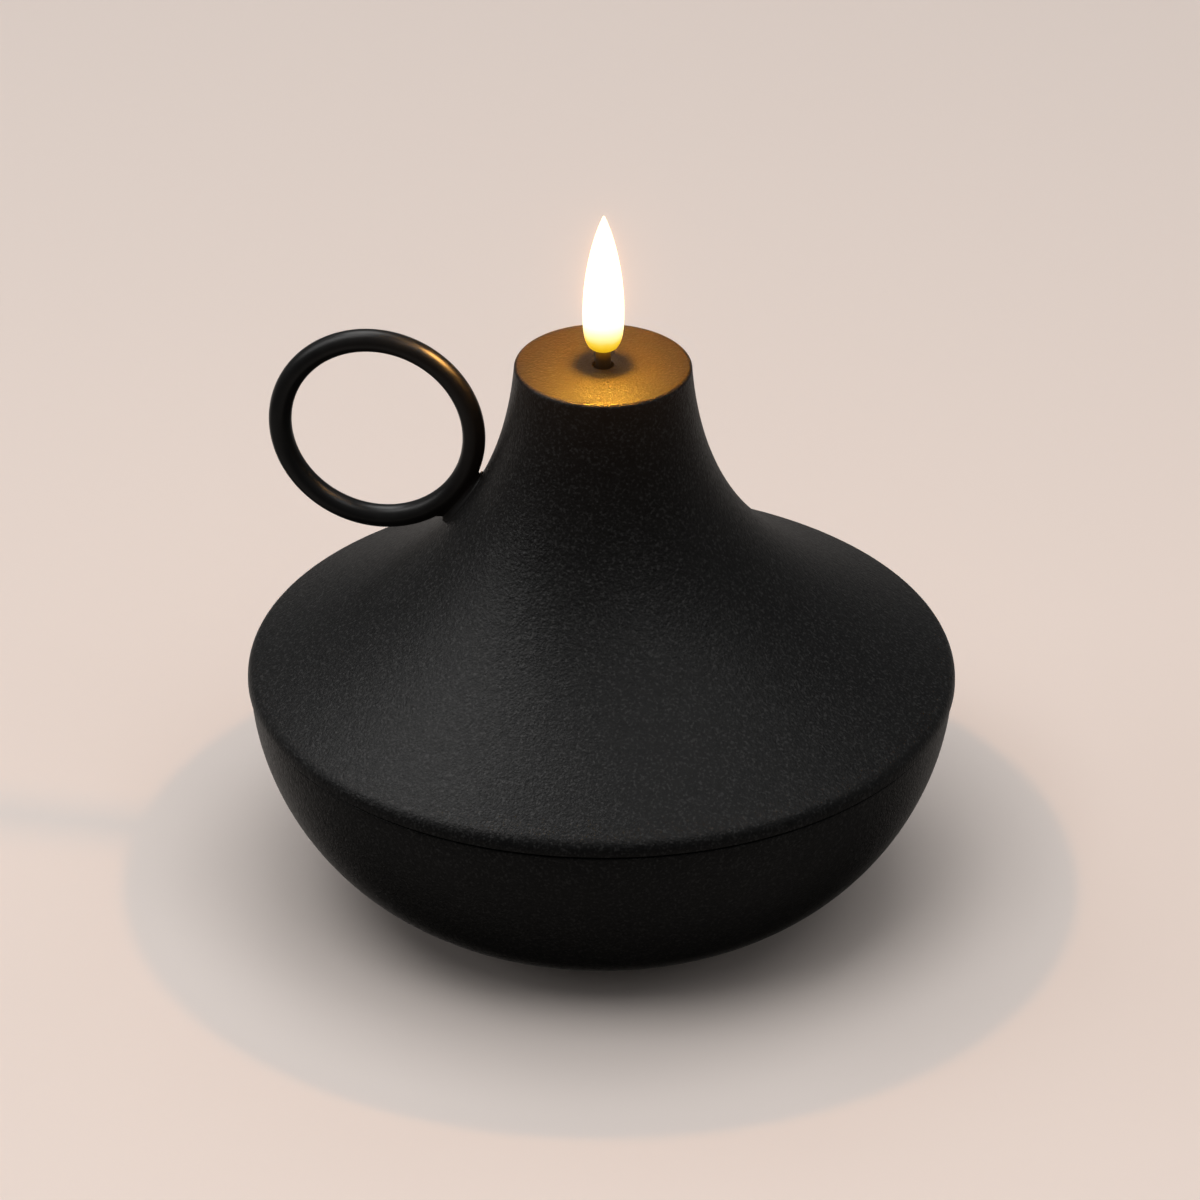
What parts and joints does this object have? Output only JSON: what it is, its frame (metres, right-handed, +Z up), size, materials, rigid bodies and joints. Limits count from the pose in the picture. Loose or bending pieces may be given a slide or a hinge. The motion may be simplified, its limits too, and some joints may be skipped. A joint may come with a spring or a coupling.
{
  "type": "battery lamp in oil lamp shape",
  "caption": "Battery table lamp shaped like an old oil lamp: flared black metal top on a bowl, ring handle, flame-shaped light on a short stem, screw battery cap and slide switch below.",
  "frame": {"origin": "on the table, under the lamp's axis, at the bottom of the rubber feet", "axes": "+Z up along the lamp's axis, ring handle towards -X, slide switch towards +X"},
  "size_m": [0.18, 0.18, 0.1915],
  "materials": {
    "black_coat": "fine-textured black powder coat",
    "black_ring": "smooth satin black paint",
    "black_rubber": "matte black rubber",
    "zinc_screw": "zinc plated",
    "flame_plastic": "translucent warm white, lit from inside",
    "led_resin": "clear yellow resin",
    "black_stem": "black tube",
    "bracket_steel": "bare pressed steel",
    "inner_plastic": "moulded plastic",
    "base_plastic": "fine-spark moulded black plastic",
    "nickel": "nickel plated spring steel",
    "cell_can": "plain sleeved can with steel ends",
    "board_green": "solder mask",
    "chip_black": "moulded epoxy with tinned legs",
    "board_part": "small soldered parts",
    "switch_tin": "tinned steel can",
    "switch_white": "white acetal",
    "wire_red": "insulated wire",
    "wire_black": "insulated wire"
  },
  "bodies": {
    "lamp": {"upper_shell": "black_coat", "lower_bowl": "black_coat", "rim_gasket": "black_rubber", "ring_handle": "black_ring", "handle_saddle": "black_ring", "handle_screw": "zinc_screw", "handle_washer": "zinc_screw", "flame_lens": "flame_plastic", "flame_led": "led_resin", "wick_tube": "black_stem", "neck_bracket": "bracket_steel", "column_screws": "zinc_screw", "core_column": "inner_plastic", "tie_screws": "zinc_screw", "battery_housing": "inner_plastic", "housing_screws": "zinc_screw", "base_plate": "base_plastic", "rubber_feet": "black_rubber", "battery_cells": "cell_can", "contact_springs": "nickel", "contact_plates": "nickel", "control_board": "board_green", "timer_chip": "chip_black", "board_parts": "board_part", "board_screws": "zinc_screw", "switch_body": "switch_tin", "led_wire_red": "wire_red", "led_wire_black": "wire_black", "battery_wire_red": "wire_red", "battery_wire_black": "wire_black"},
    "cap_carrier": {"cap_seal": "black_rubber"},
    "cap": {"battery_cap": "base_plastic", "bridge_plate": "nickel"},
    "switch_knob": {"switch_slider": "switch_white"}
  },
  "joints": [
    {"name": "cap_drop", "type": "slide", "parent": "lamp", "child": "cap_carrier", "axis": [0, 0, -1], "range_m": [0, 0.005]},
    {"name": "cap_turn", "type": "hinge", "parent": "cap_carrier", "child": "cap", "pos_m": [0, 0, 0.0017], "axis": [0, 0, -1], "range_deg": [0, 450]},
    {"name": "switch_slide", "type": "slide", "parent": "lamp", "child": "switch_knob", "axis": [0, 1, 0], "range_m": [-0.002, 0.002]}
  ],
  "couplings": [
    {"joint": "cap_turn", "follows": "cap_drop", "rad_per_m": 1570.8}
  ]
}
